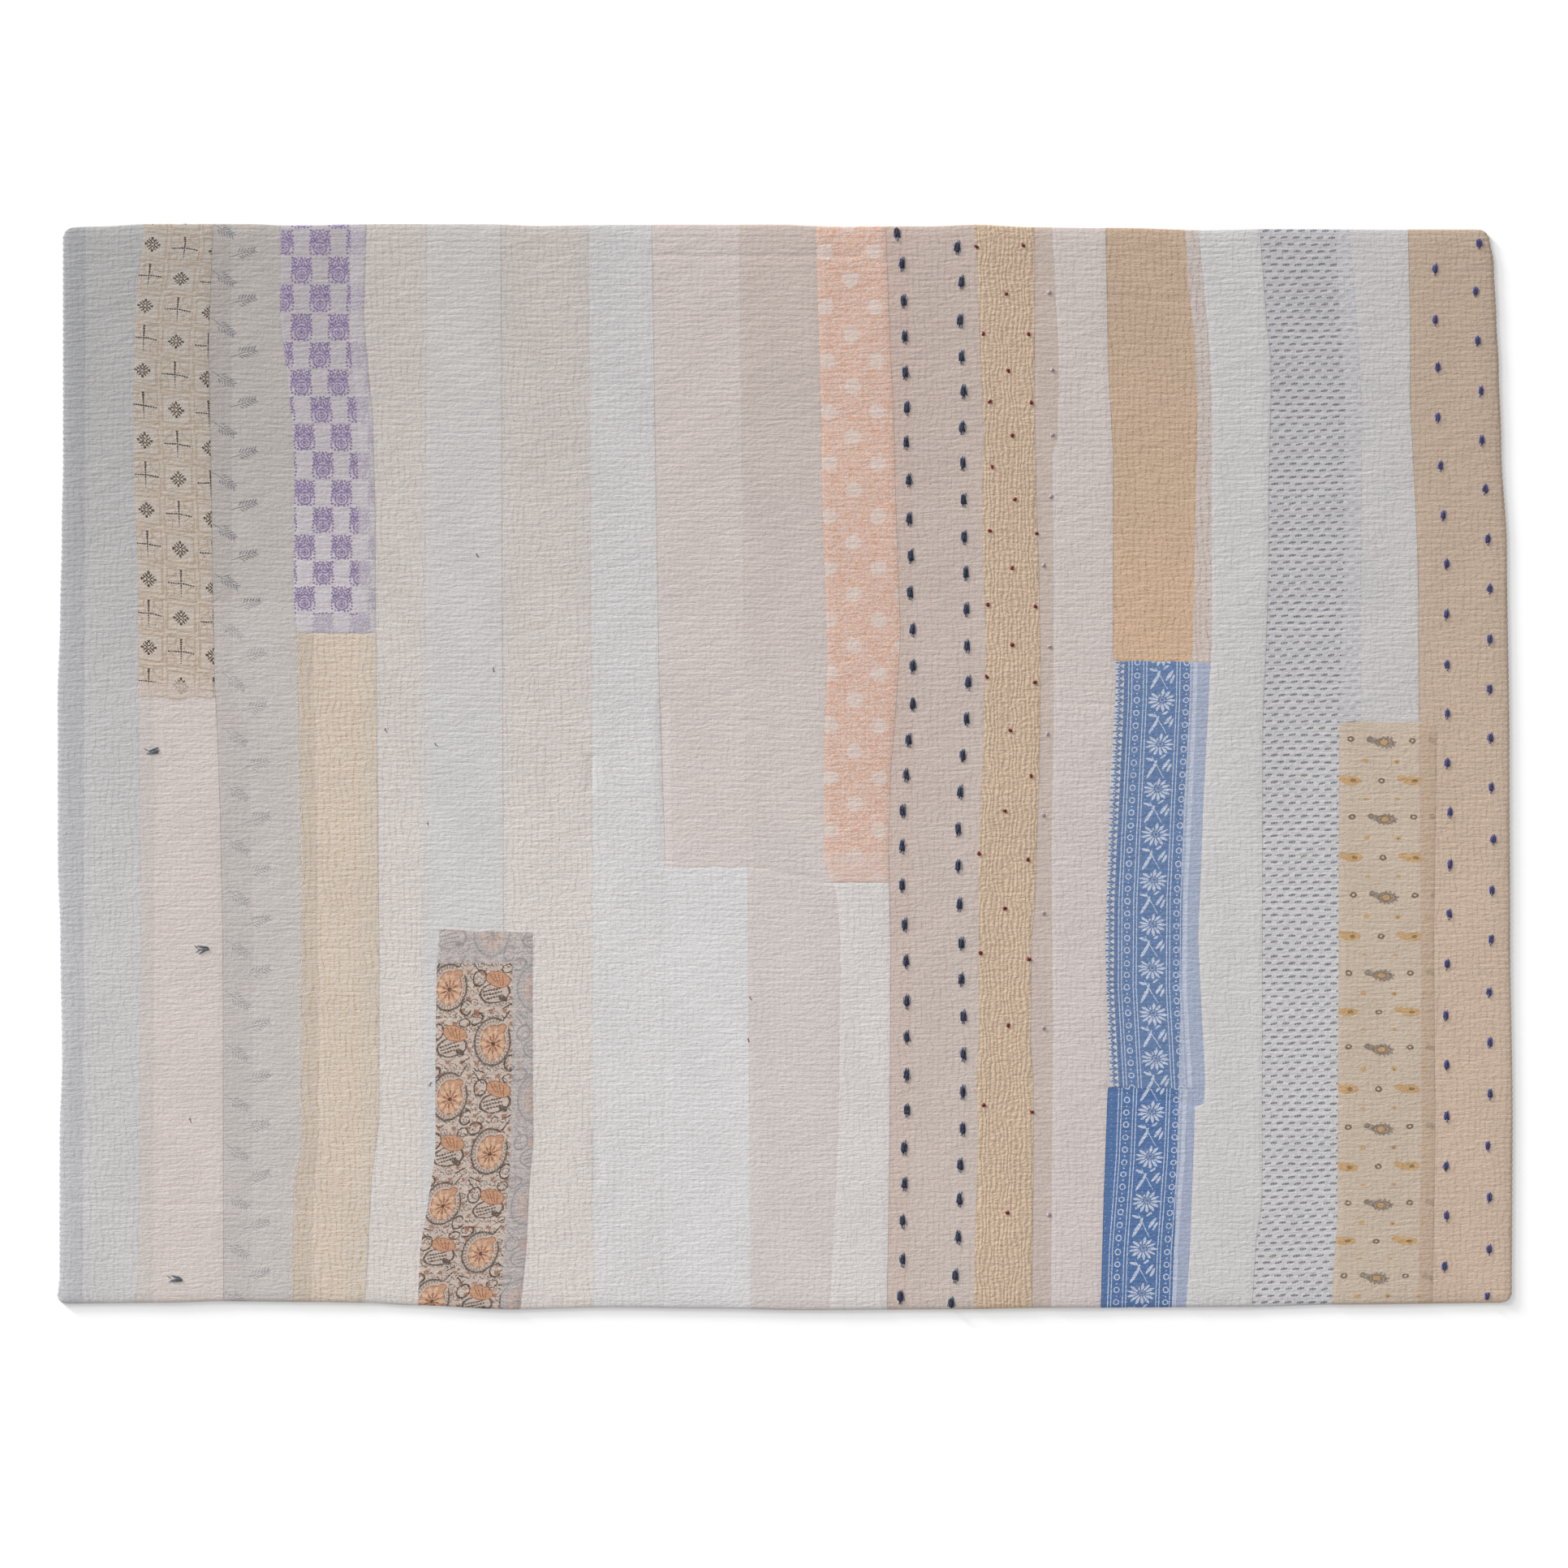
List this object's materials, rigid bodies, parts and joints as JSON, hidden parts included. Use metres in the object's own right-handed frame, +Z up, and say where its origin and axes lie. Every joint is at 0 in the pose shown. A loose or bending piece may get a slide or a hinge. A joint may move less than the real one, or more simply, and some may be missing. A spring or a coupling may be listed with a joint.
{
  "type": "kantha quilt",
  "caption": "Thin patchwork quilt laid out flat, of worn printed and plain cloth strips held by close rows of running stitch; covers a bed, sofa or person.",
  "frame": {"origin": "centre of the quilt's outline, on the flat underside that it rests on", "axes": "+X along the long side and the stitch rows, +Y along the strips, +Z up out of the face that shows"},
  "size_m": [2.1526, 1.606, 0.0053],
  "materials": {
    "quilted_cotton": "matt, worn, crinkled by stitch rows"
  },
  "bodies": {
    "root": {"quilt": "quilted_cotton"}
  },
  "joints": []
}
